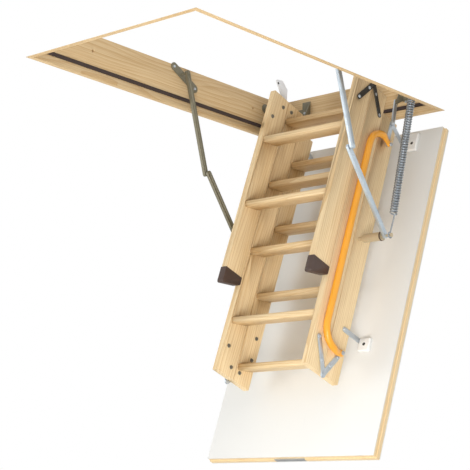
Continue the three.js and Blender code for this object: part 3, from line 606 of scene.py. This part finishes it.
class ATTIC_OT_stage(bpy.types.Operator):
    """Makes the camera, the lamps, the pale floor and the ceiling round the frame."""

    bl_idname = "attic.stage"
    bl_label = "Stage"

    EYE = (3.0094, -4.0115, -1.5089)
    YAW = math.radians(43.32)
    PITCH = math.radians(14.77)
    ROLL = math.radians(-2.10)
    SHIFT = (0.0897, -0.166)
    SKY = (0.985, 0.993, 1)
    NEUTRAL = (1, 0.995, 0.985)
    WARM = (1, 0.86, 0.66)

    def execute(self, context):
        settings = context.scene.attic_stage
        self.camera(context, settings)
        self.light(context, settings)
        self.floor(settings)
        self.ceiling(settings)
        context.scene.view_settings.view_transform = "Standard"
        return {"FINISHED"}

    def camera(self, context, settings):
        data = bpy.data.cameras.new("camera")
        data.lens = settings.lens
        data.sensor_width = 36
        data.shift_x, data.shift_y = self.SHIFT
        data.clip_end = 60
        camera = bpy.data.objects.new("camera", data)
        yaw = Matrix.Rotation(self.YAW, 3, "Z")
        pitch = Matrix.Rotation(self.PITCH, 3, "X")
        roll = Matrix.Rotation(self.ROLL, 3, "Y")
        heading = yaw @ pitch @ roll @ Matrix.Rotation(math.pi / 2, 3, "X")
        camera.matrix_world = Matrix.Translation(self.EYE) @ heading.to_4x4()
        context.scene.collection.objects.link(camera)
        context.scene.camera = camera

    def light(self, context, settings):
        world = bpy.data.worlds.new("studio")
        context.scene.world = world
        world.use_nodes = True
        tree = world.node_tree
        tree.nodes.clear()
        ray = add_node(tree, "ShaderNodeLightPath", {}, {}).outputs
        adding = {"operation": "ADD", "use_clamp": True}
        seen = add_node(tree, "ShaderNodeMath", adding, [ray["Is Camera Ray"], ray["Is Glossy Ray"]])
        either = add_node(tree, "ShaderNodeMath", adding, [seen.outputs[0], ray["Is Transmission Ray"]])
        backgrounds = [
            add_node(tree, "ShaderNodeBackground", {}, {"Color": colour, "Strength": strength}).outputs[0]
            for colour, strength in ((self.SKY, settings.sky), ((1, 1, 1), 1))
        ]
        mix = add_node(tree, "ShaderNodeMixShader", {}, [either.outputs[0], *backgrounds])
        add_node(tree, "ShaderNodeOutputWorld", {}, {"Surface": mix.outputs[0]})
        middle = Vector((0, -0.6, -0.6))
        lamps = [
            ("key", (1.7, -2.4, -1.9), settings.key, 1.4, self.NEUTRAL),
            ("fill", (-1.9, -2.6, -1.6), settings.key * 0.55, 1.8, self.NEUTRAL),
            ("top", (1.4, -2.6, 1.8), settings.key * 0.25, 2.4, self.WARM),
            ("back", (0.4, 3.2, -0.6), settings.key * 0.4, 2.6, self.NEUTRAL),
        ]
        for name, place, power, size, tint in lamps:
            data = bpy.data.lights.new(name, "AREA")
            data.shape = "DISK"
            data.size = size
            data.energy = power
            data.color = tint
            lamp = bpy.data.objects.new(name, data)
            lamp.location = place
            lamp.rotation_euler = (middle - Vector(place)).to_track_quat("-Z", "Y").to_euler()
            lamp.visible_camera = False
            context.scene.collection.objects.link(lamp)

    def sheet(self, name, bm, material):
        mesh = bpy.data.meshes.new(name)
        bm.to_mesh(mesh)
        bm.free()
        mesh.materials.append(material)
        sheet = bpy.data.objects.new(name, mesh)
        bpy.context.scene.collection.objects.link(sheet)
        return sheet

    def floor(self, settings):
        finish = Finish("pale_floor", Roughness=0.7)
        speckle = finish.noise(finish.place(), 14, 5, 0.6)
        finish.colour(finish.mix(speckle, tone(238, 237, 234), tone(230, 229, 226)))
        ray = finish.node("ShaderNodeLightPath", {}, {})
        glow = finish.node("ShaderNodeEmission", {}, {"Color": tone(244, 244, 243), "Strength": 1})
        share = Level(finish, ray.outputs["Is Camera Ray"]) * 0.6
        mixed = finish.node("ShaderNodeMixShader", {}, [share, finish.shader.outputs[0], glow.outputs[0]])
        finish.tree.links.new(mixed.outputs[0], finish.end.inputs["Surface"])
        bm = bmesh.new()
        place = Matrix.Translation((0, -0.6, -settings.floor_drop))
        bmesh.ops.create_circle(bm, cap_ends=True, segments=96, radius=14, matrix=place)
        self.sheet("floor", bm, finish.material)

    def ceiling(self, settings):
        """A white sheet round the frame's lower rim, seen only from the room and casting no shade."""
        finish = Finish("ceiling_white", Roughness=0.9)
        ray = finish.node("ShaderNodeLightPath", {}, {})
        seen = Level(finish, ray.outputs["Is Camera Ray"]) + Level(finish, ray.outputs["Is Glossy Ray"])
        geometry = finish.node("ShaderNodeNewGeometry", {}, {})
        front = 1 - Level(finish, geometry.outputs["Backfacing"])
        glow = finish.node("ShaderNodeEmission", {}, {"Color": (1, 1, 1), "Strength": 1})
        clear = finish.node("ShaderNodeBsdfTransparent", {}, {})
        mixed = finish.node("ShaderNodeMixShader", {}, [seen * front, clear.outputs[0], glow.outputs[0]])
        finish.tree.links.new(mixed.outputs[0], finish.end.inputs["Surface"])
        bm = bmesh.new()
        bmesh.ops.create_grid(bm, x_segments=1, y_segments=1, size=0.5)
        gap = 0.0004
        size = (2 * (FRAME_HALF_WIDTH + gap), FRAME_LENGTH + 2 * gap, 1)
        bmesh.ops.scale(bm, vec=size, verts=bm.verts)
        bmesh.ops.translate(bm, vec=(0, -FRAME_LENGTH / 2, RIM + 0.0006), verts=bm.verts)
        hole = list(bm.faces)
        rim = bmesh.ops.extrude_edge_only(bm, edges=list(bm.edges))
        outer = [item for item in rim["geom"] if isinstance(item, bmesh.types.BMVert)]
        reach = settings.ceiling_reach
        middle = Vector((0, -FRAME_LENGTH / 2, 0))
        for vert in outer:
            away = vert.co - middle
            vert.co.x += math.copysign(reach, away.x)
            vert.co.y += math.copysign(reach, away.y)
        bmesh.ops.delete(bm, geom=hole, context="FACES")
        bmesh.ops.recalc_face_normals(bm, faces=bm.faces)
        for face in bm.faces:
            if face.normal.z > 0:
                face.normal_flip()
        ceiling = self.sheet("ceiling", bm, finish.material)
        ceiling.visible_shadow = False
        ceiling.visible_diffuse = False


class ATTIC_OT_frame(bpy.types.Operator):
    """Finishes the ceiling frame's boards, its gasket and the screws at its corners."""

    bl_idname = "attic.frame"
    bl_label = "Ceiling frame"

    def execute(self, context):
        timber = context.scene.attic_timber
        # The frame's boards are darkened to 0.86 as painted shade for the inside of the opening.
        across = pine("frame_pine_across", GRAIN_ACROSS, timber, 0.86)
        along = pine("frame_pine_along", GRAIN_ALONG, timber, 0.86)
        for node, material in (
            ("frame_board_hinge_end", across),
            ("frame_board_free_end", across),
            ("frame_board_left", along),
            ("frame_board_right", along),
        ):
            eased_copy(node, material, timber.easing * 0.7)
        seal = moulded("gasket_rubber", tuple(context.scene.attic_trim.gasket), 0.6, 700)
        paint(seal, "frame_gasket")
        self.corner_screws(context)
        return {"FINISHED"}

    def corner_screws(self, context):
        """Countersunk screws through the side boards into the end boards."""
        bm = bmesh.new()
        for side in SIDES.values():
            turn = Matrix.Rotation(side * math.pi / 2, 4, "Y")
            for y in (-BOARD / 2, -FRAME_LENGTH + BOARD / 2):
                for z in (-0.04, 0, 0.04):
                    place = Matrix.Translation((side * (FRAME_HALF_WIDTH - 0.0012), y, z)) @ turn
                    pan_head(bm, place, 0.0045, 0.0011)
        material = plated("screw_zinc", tuple(context.scene.attic_metal.zinc), 0.34)
        finish_piece(bm, "frame_corner_screws", "frame", material)


class ATTIC_OT_hatch(bpy.types.Operator):
    """Finishes the hatch's skins, its pine edge frame and its insulation."""

    bl_idname = "attic.hatch"
    bl_label = "Hatch"

    def execute(self, context):
        timber = context.scene.attic_timber
        edge = pine("hatch_edge_pine", GRAIN_DOWN_LADDER, timber, 1.0, 0.5, knots=False)
        board = lacquered_board("hatch_lacquer", tuple(context.scene.attic_trim.board))
        paint(edge, "hatch_edge_frame")
        for node in ("hatch_skin_attic", "hatch_skin_room"):
            eased_copy(node, board, 0.0006)
        paint(beaded_foam("insulation_beads"), "hatch_insulation")
        return {"FINISHED"}


class ATTIC_OT_lock(bpy.types.Operator):
    """Finishes the lock, its bolt, its key spindle and the striker, and adds their screws."""

    bl_idname = "attic.lock"
    bl_label = "Lock"

    FREE_END = 1.152
    SCREW_HEIGHT = -0.022

    def execute(self, context):
        steel = plated("lock_plating", tone(186, 189, 192), 0.36, 0.8, 0.2)
        paint(steel, "lock_case", "lock_bolt", "lock_key", "lock_striker")
        low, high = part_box("lock_case")
        middle = (low + high) / 2
        bm = bmesh.new()
        down = Vector((0, -math.cos(OPEN_ANGLE), -math.sin(OPEN_ANGLE)))
        turn = down.to_track_quat("Z", "X").to_matrix().to_4x4()
        face = on_hatch(0, self.FREE_END, self.SCREW_HEIGHT)
        for x in (-0.05, 0.05):
            place = Matrix.Translation(face + Vector((middle.x + x, 0, 0)) + down * 0.0001) @ turn
            pan_head(bm, place, 0.0042, 0.0009)
        finish_piece(bm, "lock_screws", "hatch", steel)
        bm = bmesh.new()
        low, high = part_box("lock_striker")
        turn = Matrix.Rotation(-math.pi / 2, 4, "X")
        for x in (-0.028, 0.028):
            place = Matrix.Translation((x, high.y - 0.0011, (low.z + high.z) / 2)) @ turn
            pan_head(bm, place, 0.0036, 0.0012)
        finish_piece(bm, "striker_screws", "frame", steel)
        return {"FINISHED"}


class ATTIC_OT_ladder_timber(bpy.types.Operator):
    """Eases and finishes the stringers and treads of the three ladder sections."""

    bl_idname = "attic.ladder_timber"
    bl_label = "Ladder timber"

    def execute(self, context):
        timber = context.scene.attic_timber
        stringer = pine("stringer_pine_grain", GRAIN_DOWN_LADDER, timber)
        tread = pine("tread_pine_grain", GRAIN_ACROSS, timber, 0.97, knots=False)
        made = 0
        for node in sorted(frame["nodes"]):
            if "_stringer_" in node:
                eased_copy(node, stringer, timber.easing)
                made += 1
            elif "_tread_" in node:
                eased_copy(node, tread, timber.tread_easing)
                made += 1
        if made != 16:
            raise RuntimeError(f"{made} pieces of ladder timber were found, not 16")
        return {"FINISHED"}


class ATTIC_OT_feet(bpy.types.Operator):
    """Rounds and finishes the two feet."""

    bl_idname = "attic.feet"
    bl_label = "Feet"

    def execute(self, context):
        rubber = moulded("foot_rubber_skin", tuple(context.scene.attic_trim.foot), 0.45, 900)
        for side in SIDES:
            eased_copy(f"foot_{side}", rubber, 0.002, 0.01, 50)
        return {"FINISHED"}


class ATTIC_OT_section_hinges(bpy.types.Operator):
    """Finishes the hinges between the ladder sections, with their screws and the nuts inside."""

    bl_idname = "attic.section_hinges"
    bl_label = "Section hinges"

    INNER_LEAF = 0.0028
    OUTER_LEAF = 0.0058
    BARE_FROM = -0.038
    PROUD_HEAD = 0.0024
    FLUSH_HEAD = 0.0004

    def execute(self, context):
        metal = context.scene.attic_metal
        zinc = plated("hinge_zinc", tuple(metal.zinc), 0.32)
        black = blackened("hinge_black", tuple(metal.black), tuple(metal.bare), self.BARE_FROM)
        hole_shade = moulded("hole_shade_black", tone(40, 38, 36), 0.5, 600)
        nuts = plated("nut_zinc", tone(136, 134, 126), 0.4)
        for side in SIDES:
            for node in (f"upper_section_leaf_{side}", f"middle_section_lower_leaf_{side}"):
                eased_copy(node, zinc, metal.strap_easing, 0.001)
            for node in (f"middle_section_upper_leaf_{side}", f"lower_section_leaf_{side}"):
                eased_copy(node, black, metal.strap_easing * 1.5, 0.001)
        inner, outer = self.INNER_LEAF, self.OUTER_LEAF
        proud, flush = self.PROUD_HEAD, self.FLUSH_HEAD
        heads = [
            ("upper_section_hinge_screws", "hatch", inner, proud, [(869, 91.5), (910, 116.5)]),
            (
                "middle_section_lower_hinge_screws",
                "middle_section",
                outer,
                proud,
                [(851, 197.5), (912, 162.5)],
            ),
            ("middle_section_upper_hinge_screws", "middle_section", inner, flush, [(30, 160.5), (-26, 200)]),
            ("lower_section_hinge_screws", "lower_section", outer, proud, [(34, 279.5), (-24, 242)]),
        ]
        for name, body, rise, thickness, places in heads:
            bm = on_both_sides(pan_head, STRINGER_OUTER + rise, places, metal.screw_radius, thickness)
            finish_piece(bm, name, body, zinc)
        # Dark pan heads on both faces of each ear: painted shade standing for the hole through the ear.
        bm = bmesh.new()
        for side in SIDES.values():
            for face in (-1, 1):
                x = side * (STRINGER_OUTER + (outer if face == 1 else inner + 0.0003))
                pan_head(bm, facing(x, -0.106, 0.273, side * face), 0.0042, 0.0008)
        finish_piece(bm, "ear_hole_shade", "lower_section", hole_shade)
        ends = [
            ("upper_section_hinge_nuts", "hatch", [(778, 86), (853, 83), (915, 121), (473, 118)]),
            (
                "middle_section_hinge_nuts",
                "middle_section",
                [(857, 199), (915, 164), (30, 160.5), (-26, 200)],
            ),
            ("lower_section_hinge_nuts", "lower_section", [(41, 282), (-19, 244)]),
        ]
        for name, body, places in ends:
            bm = on_both_sides(hex_nut, STRINGER_INNER - 0.0001, places, 0.005, 0.0045, -1)
            finish_piece(bm, name, body, nuts)
        return {"FINISHED"}


class ATTIC_OT_hatch_hinges(bpy.types.Operator):
    """Finishes the plates, links and brackets that the hatch turns on, and screws them down."""

    bl_idname = "attic.hatch_hinges"
    bl_label = "Hatch hinges"

    def execute(self, context):
        metal = context.scene.attic_metal
        zinc = plated("bracket_zinc", tuple(metal.zinc), 0.34)
        # The frame's plates and arm brackets take the darker olive zinc, painted shade for their place
        # inside the opening.
        shadowed_zinc = plated("plate_zinc_shadowed", tuple(metal.shadowed_zinc), 0.5, 0.35)
        for side in SIDES:
            for node in (f"hinge_link_{side}", f"hinge_bracket_{side}"):
                eased_copy(node, zinc, 0.0004, 0.002)
            for node in (f"hinge_plate_{side}", f"arm_bracket_{side}"):
                eased_copy(node, shadowed_zinc, 0.0004, 0.002)
        self.plate_screws(zinc, metal.screw_radius)
        self.bracket_screws(zinc, metal.screw_radius)
        return {"FINISHED"}

    def plate_screws(self, material, radius):
        """Screws through the tabs and the arm brackets into the frame's boards."""
        bm = bmesh.new()
        for side, sign in SIDES.items():
            low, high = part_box(f"hinge_plate_{side}")
            inner = min(abs(low.x), abs(high.x))
            face = -BOARD - 0.0033
            forward = Matrix.Rotation(math.pi / 2, 4, "X")
            for x in (inner + 0.019, inner + 0.029):
                for z in (low.z + 0.014, low.z + 0.05):
                    place = Matrix.Translation((sign * x, face, z)) @ forward
                    pan_head(bm, place, radius * 0.8, 0.0018)
            wall = FRAME_HALF_WIDTH - BOARD - 0.0033
            inward = Matrix.Rotation(-sign * math.pi / 2, 4, "Y")
            low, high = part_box(f"arm_bracket_{side}")
            ends = [(low.y + 0.014, high.z - 0.014), (high.y - 0.014, low.z + 0.014)]
            for y, z in ends:
                place = Matrix.Translation((sign * wall, y, z)) @ inward
                pan_head(bm, place, radius * 0.9, 0.002)
        finish_piece(bm, "frame_plate_screws", "frame", material)

    def bracket_screws(self, material, radius):
        places = ((96, 92), (72, 91.5))
        bm = on_both_sides(pan_head, STRINGER_OUTER + 0.0028, places, radius * 0.9, 0.002)
        finish_piece(bm, "hinge_bracket_screws", "hatch", material)


class ATTIC_OT_guide_arms(bpy.types.Operator):
    """Finishes the guide arms and spreader tubes and adds the rivets at their ends."""

    bl_idname = "attic.guide_arms"
    bl_label = "Guide arms"

    BUSH_RADIUS = 0.0152
    BUSH_TAPER = 0.0006
    BUSH_LENGTH = 0.0045
    BUSH_INSET = 0.0075
    RIVET_RADIUS = 0.003
    RIVET_REACHES = (0.018, 0.03)

    def execute(self, context):
        metal = context.scene.attic_metal
        channel = plated("arm_galvanised", tuple(metal.channel), 0.3, 0.7, 0.45)
        # The left pair of arms takes the darker olive zinc, painted shade and a painted reflection of the
        # wood inside its channel.
        shadowed = plated("arm_shadowed", tuple(metal.shadowed_zinc), 0.42, 0.45, 0.3)
        tube = plated("spreader_passivated", tone(206, 190, 158), 0.4, 0.4, 0.2)
        for side, steel in (("left", shadowed), ("right", channel)):
            for node in (f"upper_arm_{side}", f"lower_arm_{side}"):
                eased_copy(node, steel, 0.0005, 0.002)
            paint(tube, f"spreader_tube_{side}")
        self.rivets(channel)
        self.bushes()
        return {"FINISHED"}

    def bushes(self):
        """A dark bush round the outer end of each spreader tube."""
        dark = moulded("bush_skin", tone(74, 50, 40), 0.5, 900)
        bm = bmesh.new()
        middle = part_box("lower_arm_right")[0].x - self.BUSH_INSET
        radius = self.BUSH_RADIUS
        for side in SIDES.values():
            place = facing(side * middle, *ARM_PIN, side)
            cone(bm, place, 40, radius, radius - self.BUSH_TAPER, self.BUSH_LENGTH)
        finish_piece(bm, "spreader_bushes", "hatch", dark)

    def rivets(self, material):
        """Two small rivets on the web of each lower arm, near the knuckle."""
        for side, sign in SIDES.items():
            low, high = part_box(f"lower_arm_{side}")
            outer = max(abs(low.x), abs(high.x))
            knuckle = Vector((0, low.y + 0.012, high.z - 0.012))
            foot = Vector((0, high.y - 0.012, low.z + 0.012))
            along = (foot - knuckle).normalized()
            bm = bmesh.new()
            turn = Matrix.Rotation(sign * math.pi / 2, 4, "Y")
            for reach in self.RIVET_REACHES:
                place = knuckle + along * reach
                place.x = sign * outer
                bmesh.ops.create_uvsphere(
                    bm,
                    u_segments=14,
                    v_segments=8,
                    radius=self.RIVET_RADIUS,
                    matrix=Matrix.Translation(place) @ turn @ Matrix.Diagonal((1, 1, 0.5, 1)),
                )
            finish_piece(bm, f"lower_arm_rivets_{side}", f"lower_arm_{side}", material)


class ATTIC_OT_balance_springs(bpy.types.Operator):
    """Winds the two balance springs with their hooks and lets them ride on their bodies."""

    bl_idname = "attic.balance_springs"
    bl_label = "Balance springs"

    ANCHOR = Vector((0, -0.107, 0.030))
    SHORT = 0.696
    OUTER_RADIUS = 0.013
    TOP_HOOK = 0.034
    LOWER_HOOK = 0.072
    EYE_RADIUS = 0.0085

    def execute(self, context):
        metal = context.scene.attic_metal
        steel = spring_wire("spring_wire_steel", tuple(metal.spring))
        foot = on_hatch(0, *ARM_PIN)
        for side in SIDES:
            low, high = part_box(f"balance_spring_{side}")
            x = (low.x + high.x) / 2
            top = Vector((x, self.ANCHOR.y, self.ANCHOR.z))
            bottom = Vector((x, foot.y, foot.z))
            bm = self.wind(top, bottom, metal.wire_radius, metal.coil_pitch)
            name = f"balance_spring_{side}"
            piece = finish_piece(bm, f"{name}_wound", name, steel, [name], 60)
            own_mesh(piece)
        return {"FINISHED"}

    def wind(self, top, bottom, wire, pitch):
        """The coils on their line, and at each end a stem and an eye round its pin."""
        line = (bottom - top).normalized()
        length = (bottom - top).length
        coil_radius = self.OUTER_RADIUS - wire
        start, stop = self.TOP_HOOK, length - self.LOWER_HOOK
        turns = round((stop - start) / pitch)
        steps = 14
        bm = bmesh.new()
        across = Vector((1, 0, 0))
        section = Matrix((across, line, across.cross(line))).transposed().to_4x4()
        place = Matrix.Translation(top + line * start + across * coil_radius) @ section
        ring = bmesh.ops.create_circle(bm, cap_ends=False, segments=8, radius=wire, matrix=place)
        edges = list({edge for vert in ring["verts"] for edge in vert.link_edges})
        bmesh.ops.spin(
            bm,
            geom=ring["verts"] + edges,
            cent=top,
            axis=line,
            dvec=line * (stop - start) / (turns * steps),
            angle=2 * math.pi * turns,
            steps=turns * steps,
            use_duplicate=False,
        )
        bmesh.ops.remove_doubles(bm, verts=bm.verts, dist=1e-6)
        bmesh.ops.holes_fill(bm, edges=bm.edges, sides=8)
        eye = self.EYE_RADIUS
        ends = ((top, line, top + line * start), (bottom, -line, top + line * stop))
        for end, inward, coil_end in ends:
            halfway = coil_end + across * coil_radius * 0.5 - inward * 0.002
            points = [coil_end + across * coil_radius, halfway]
            points.append(end + inward * (eye + 0.006))
            centre = (end.y, end.z)
            lead = math.atan2(inward.z, inward.y)
            points += arc(centre, eye, lead, lead + math.radians(320), 24, end.x)
            add_wire(bm, points, wire, 3)
        return bm


class ATTIC_OT_handrail(bpy.types.Operator):
    """Bends the handrail's tube, flattens its ends and bolts them to the stringer."""

    bl_idname = "attic.handrail"
    bl_label = "Handrail"

    RADIUS = 0.0113
    FOOT_HEIGHT = 0.087
    GRIP_HEIGHT = 0.192
    START = 0.102
    END = 0.855
    SPACER = 0.0044
    PRESSED = 0.5
    PRESSED_MIDDLE = 0.0058
    BOLT_FACE = 0.0157

    def execute(self, context):
        coat = powder_coat("rail_powder_coat", tuple(context.scene.attic_trim.rail))
        low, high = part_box("handrail")
        x = (low.x + high.x) / 2
        points = self.path()
        bm = bmesh.new()
        add_wire(bm, [HATCH @ Vector((x, -run, height)) for run, height in points], self.RADIUS, 9)
        self.flatten(bm, x)
        finish_piece(bm, "handrail_tube", "hatch", coat, ["handrail"], 60)
        steel = plated("rail_bolt_zinc", tone(190, 196, 202), 0.28)
        bm = bmesh.new()
        for run in (self.START, self.END):
            outer = facing(STRINGER_OUTER + self.BOLT_FACE, run, self.FOOT_HEIGHT + 0.001, 1)
            hex_nut(bm, outer, 0.0052, 0.0045)
            spacer = facing(STRINGER_OUTER + 0.0022, run, self.FOOT_HEIGHT + 0.001, 1)
            cone(bm, spacer, 20, 0.006, 0.006, self.SPACER)
        finish_piece(bm, "handrail_bolts", "hatch", steel)
        return {"FINISHED"}

    def path(self):
        """Run and height of the tube's middle, from its upper to its lower end."""
        middle = (self.FOOT_HEIGHT + self.GRIP_HEIGHT) / 2
        upper = [
            Vector((self.START, self.FOOT_HEIGHT)),
            Vector((self.START - 0.020, middle)),
            Vector((self.START + 0.005, self.GRIP_HEIGHT)),
            Vector((self.START + 0.062, self.GRIP_HEIGHT)),
        ]
        lower = [Vector((self.END + self.START - point.x, point.y)) for point in reversed(upper)]
        steps = 22
        points = []
        for bend in (upper, lower):
            for i in range(steps + 1):
                t = i / steps
                weights = ((1 - t) ** 3, 3 * t * (1 - t) ** 2, 3 * t * t * (1 - t), t**3)
                weighted = (point * weight for point, weight in zip(bend, weights))
                points.append(sum(weighted, Vector((0, 0))))
        return points

    def flatten(self, bm, x):
        """Presses the tube's ends flat against the stringer's side, wider across and rounded."""
        back = HATCH.inverted()
        wall = STRINGER_OUTER + self.SPACER
        for vert in bm.verts:
            local = back @ vert.co
            rise = local.z - self.FOOT_HEIGHT
            share = 1 - min(1, max(0, (rise - 0.010) / 0.042))
            share = share * share * (3 - 2 * share)
            flat = wall + self.PRESSED_MIDDLE + (local.x - x) * self.PRESSED
            local.x += (flat - local.x) * share
            vert.co = HATCH @ local


class ATTIC_OT_blocks(bpy.types.Operator):
    """Finishes the stay and makes the moulded blocks on the hatch, with their screws."""

    bl_idname = "attic.blocks"
    bl_label = "Stay and blocks"

    REST_OFFSET = 0.2255

    def execute(self, context):
        metal = context.scene.attic_metal
        plastic = moulded("block_plastic", tuple(context.scene.attic_trim.plastic), 0.4, 600)
        zinc = plated("stay_zinc", tuple(metal.zinc), 0.34)
        dark = moulded("block_recess", tone(70, 68, 66), 0.6, 600)
        eased_copy("stay", zinc, 0.0004, 0.001)
        eased_copy("stay_block", plastic, 0.0035, 0.005, 50)
        for side, sign in SIDES.items():
            self.top_block(side, sign, plastic)
        self.recesses(dark)
        self.stay_screw(zinc, metal.screw_radius)
        return {"FINISHED"}

    def top_block(self, side, sign, material):
        """The block near the hatch's hinge edge that the folded ladder rests against."""
        bm = bmesh.new()
        place = HATCH @ Matrix.Translation((sign * self.REST_OFFSET, -0.048, 0.0068))
        bmesh.ops.create_cube(bm, size=1, matrix=place @ Matrix.Diagonal((0.038, 0.066, 0.0128, 1)))
        ease(bm, 0.004, 0.005, 3)
        finish_piece(bm, f"rest_block_{side}", "hatch", material, (), 50)

    def recesses(self, material):
        """Sunk screws in the blocks."""
        bm = bmesh.new()
        rests = [(side * self.REST_OFFSET, 0.055, 0.0128) for side in SIDES.values()]
        for x, run, height in (*rests, (0.2125, 0.788, 0.0126)):
            pan_head(bm, HATCH @ Matrix.Translation((x, -run, height)), 0.0058, 0.0012)
        finish_piece(bm, "block_screws", "hatch", material)

    def stay_screw(self, material, radius):
        bm = bmesh.new()
        pan_head(bm, facing(STRINGER_OUTER + 0.0033, 0.775, 0.090, 1), radius, 0.0024)
        finish_piece(bm, "stay_screw", "hatch", material)


# ---- Panel ------------------------------------------------------------------------------

STEPS = (
    ATTIC_OT_stage,
    ATTIC_OT_frame,
    ATTIC_OT_hatch,
    ATTIC_OT_lock,
    ATTIC_OT_ladder_timber,
    ATTIC_OT_feet,
    ATTIC_OT_section_hinges,
    ATTIC_OT_hatch_hinges,
    ATTIC_OT_guide_arms,
    ATTIC_OT_balance_springs,
    ATTIC_OT_handrail,
    ATTIC_OT_blocks,
)

SETTINGS = {
    "attic_timber": TimberSettings,
    "attic_metal": MetalSettings,
    "attic_trim": TrimSettings,
    "attic_stage": StageSettings,
}


class ATTIC_PT_finisher(bpy.types.Panel):
    """Lists the settings and the steps."""

    bl_idname = "ATTIC_PT_finisher"
    bl_label = "Attic Ladder"
    bl_space_type = "VIEW_3D"
    bl_region_type = "UI"
    bl_category = "Attic Ladder"

    def draw(self, context):
        for name, group in SETTINGS.items():
            box = self.layout.box()
            box.label(text=group.__doc__)
            for key in group.__annotations__:
                box.prop(getattr(context.scene, name), key)
        for step in STEPS:
            self.layout.operator(step.bl_idname)


def register():
    for group in (*SETTINGS.values(), *STEPS, ATTIC_PT_finisher):
        bpy.utils.register_class(group)
    for name, group in SETTINGS.items():
        setattr(bpy.types.Scene, name, bpy.props.PointerProperty(type=group))


def unregister():
    for name in SETTINGS:
        delattr(bpy.types.Scene, name)
    for group in reversed((*SETTINGS.values(), *STEPS, ATTIC_PT_finisher)):
        bpy.utils.unregister_class(group)


def main():
    register()
    for step in STEPS:
        area, name = step.bl_idname.split(".")
        getattr(getattr(bpy.ops, area), name)()


if __name__ == "__main__":
    main()
